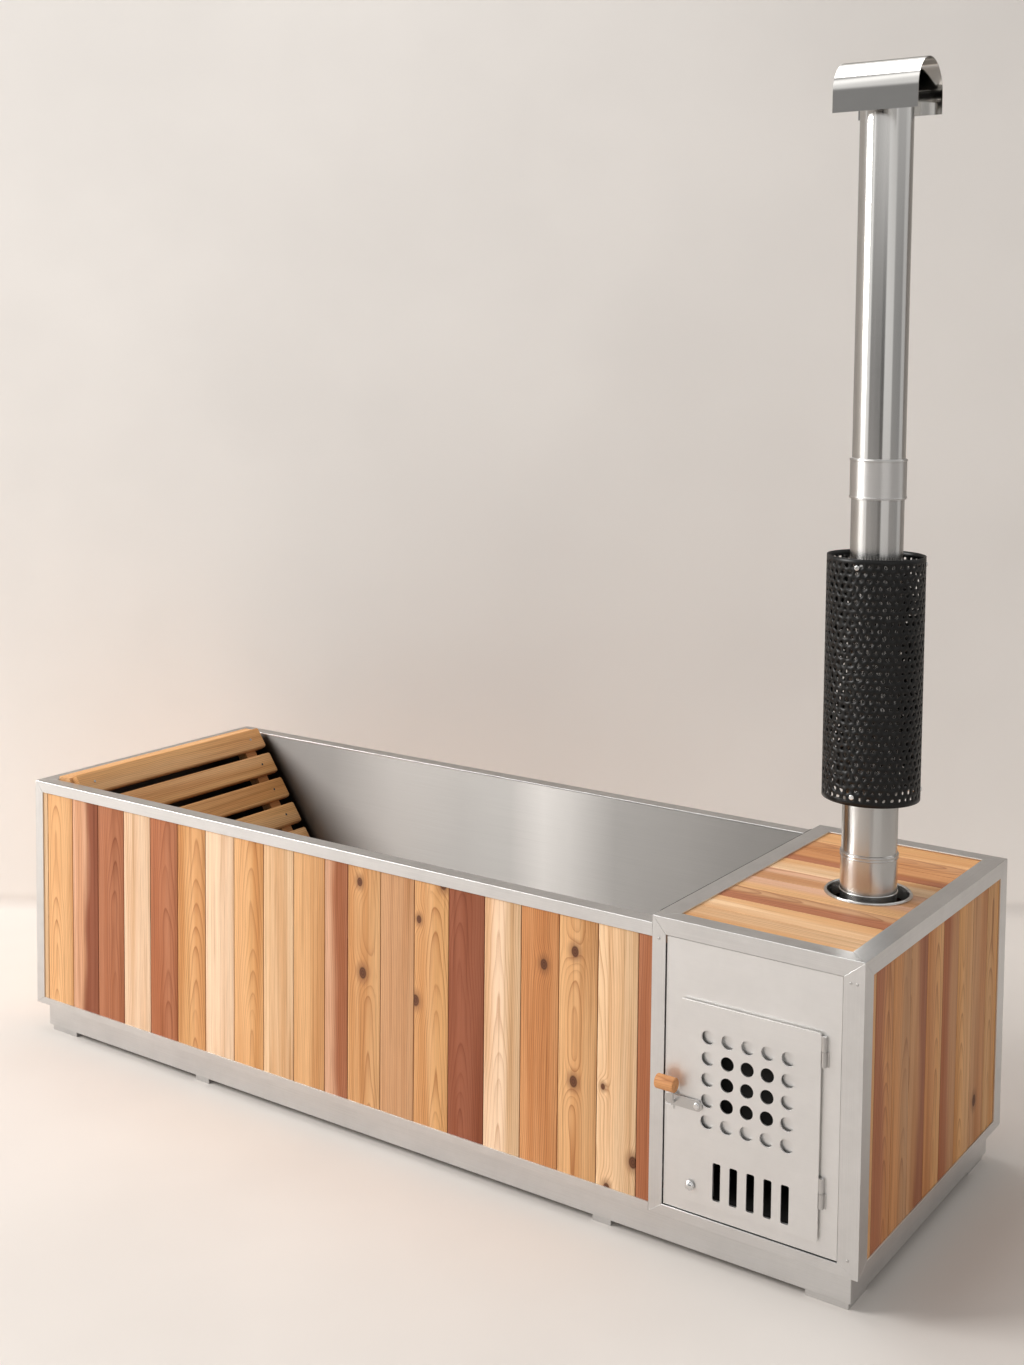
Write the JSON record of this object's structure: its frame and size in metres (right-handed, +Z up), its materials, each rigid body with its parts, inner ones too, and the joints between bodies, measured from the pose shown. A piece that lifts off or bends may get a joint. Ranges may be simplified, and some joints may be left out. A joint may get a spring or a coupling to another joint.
{
  "type": "wood-burning hot tub",
  "caption": "Free-standing timber-clad steel bath with a wood stove, vented fire door, deck and tall flue with heat guard and rain cap at one end, and a slatted backrest.",
  "frame": {"origin": "on the floor, in the middle of the footprint", "axes": "+X to the stove end, +Y to the back, away from the fire door, +Z up"},
  "size_m": [2.05, 0.753, 2.143],
  "materials": {
    "frame_steel": "satin grey steel bar",
    "panel_steel": "satin grey sheet",
    "tub_steel": "brushed stainless sheet",
    "flue_steel": "polished stainless steel",
    "bright_chrome": "bright plated",
    "stove_iron": "blackened",
    "guard_paint": "satin black",
    "cladding_timber": "oiled softwood boards, mixed red-brown and honey",
    "batten_timber": "sawn softwood",
    "backrest_timber": "planed pale timber",
    "grip_timber": "turned and oiled",
    "base_board": "waterproof plywood",
    "black_rubber": "matt black",
    "seal_rope": "braided heat-proof rope"
  },
  "bodies": {
    "tub_and_stove": {"plinth_long_rails": "frame_steel", "plinth_end_rails": "frame_steel", "feet": "frame_steel", "cross_bearers": "frame_steel", "base_panel": "base_board", "stove_base_plate": "frame_steel", "front_rim": "frame_steel", "back_rim": "frame_steel", "head_rim": "frame_steel", "tub_sills": "frame_steel", "tub_posts": "frame_steel", "deck_long_rails": "frame_steel", "deck_cross_rails": "frame_steel", "stove_long_sills": "frame_steel", "stove_cross_sills": "frame_steel", "stove_inner_posts": "frame_steel", "stove_outer_posts": "frame_steel", "front_boards": "cladding_timber", "back_boards": "cladding_timber", "head_boards": "cladding_timber", "stove_end_boards": "cladding_timber", "stove_back_boards": "cladding_timber", "deck_boards": "cladding_timber", "cladding_battens": "batten_timber", "deck_ledgers": "batten_timber", "tub": "tub_steel", "rim_seal": "black_rubber", "drain_waste": "bright_chrome", "circulation_pipes": "tub_steel", "stove_front_panel": "panel_steel", "fire_chamber": "stove_iron", "water_jacket": "tub_steel", "fire_grate": "stove_iron", "frame_hinge_barrels": "panel_steel", "hinge_pins": "flue_steel", "latch_keeper": "panel_steel", "flue_base_pipe": "flue_steel", "flue_middle_pipe": "flue_steel", "flue_coupling": "flue_steel", "flue_upper_pipe": "flue_steel", "deck_collar": "flue_steel", "heat_guard": "guard_paint", "guard_spacers": "guard_paint", "rain_cap": "flue_steel", "cap_straps": "flue_steel", "frame_rivets": "frame_steel"},
    "fire_door": {"fire_door_plate": "panel_steel", "fire_door_tray": "panel_steel", "fire_door_shield": "stove_iron", "fire_door_seal": "seal_rope", "door_stud": "bright_chrome", "door_hinge_barrels": "panel_steel", "latch_pivot": "flue_steel"},
    "latch": {"latch_bar": "flue_steel", "latch_grip": "grip_timber"},
    "plug": {"drain_plug": "bright_chrome"},
    "backrest": {"backrest_slats": "backrest_timber", "backrest_battens": "backrest_timber", "backrest_top_rail": "backrest_timber", "backrest_screws": "flue_steel"}
  },
  "joints": [
    {"name": "fire_door_hinge", "type": "hinge", "parent": "tub_and_stove", "child": "fire_door", "pos_m": [0.9568, -0.345, 0.297], "axis": [0, 0, 1], "range_deg": [0, 110]},
    {"name": "latch_turn", "type": "hinge", "parent": "fire_door", "child": "latch", "pos_m": [0.723, -0.35, 0.293], "axis": [0, 1, 0], "range_deg": [0, 80]},
    {"name": "plug_lift", "type": "slide", "parent": "tub_and_stove", "child": "plug", "axis": [0, 0, 1], "range_m": [0, 0.06]},
    {"name": "backrest_lift", "type": "slide", "parent": "tub_and_stove", "child": "backrest", "axis": [0, 0, 1], "range_m": [0, 0.3]}
  ]
}
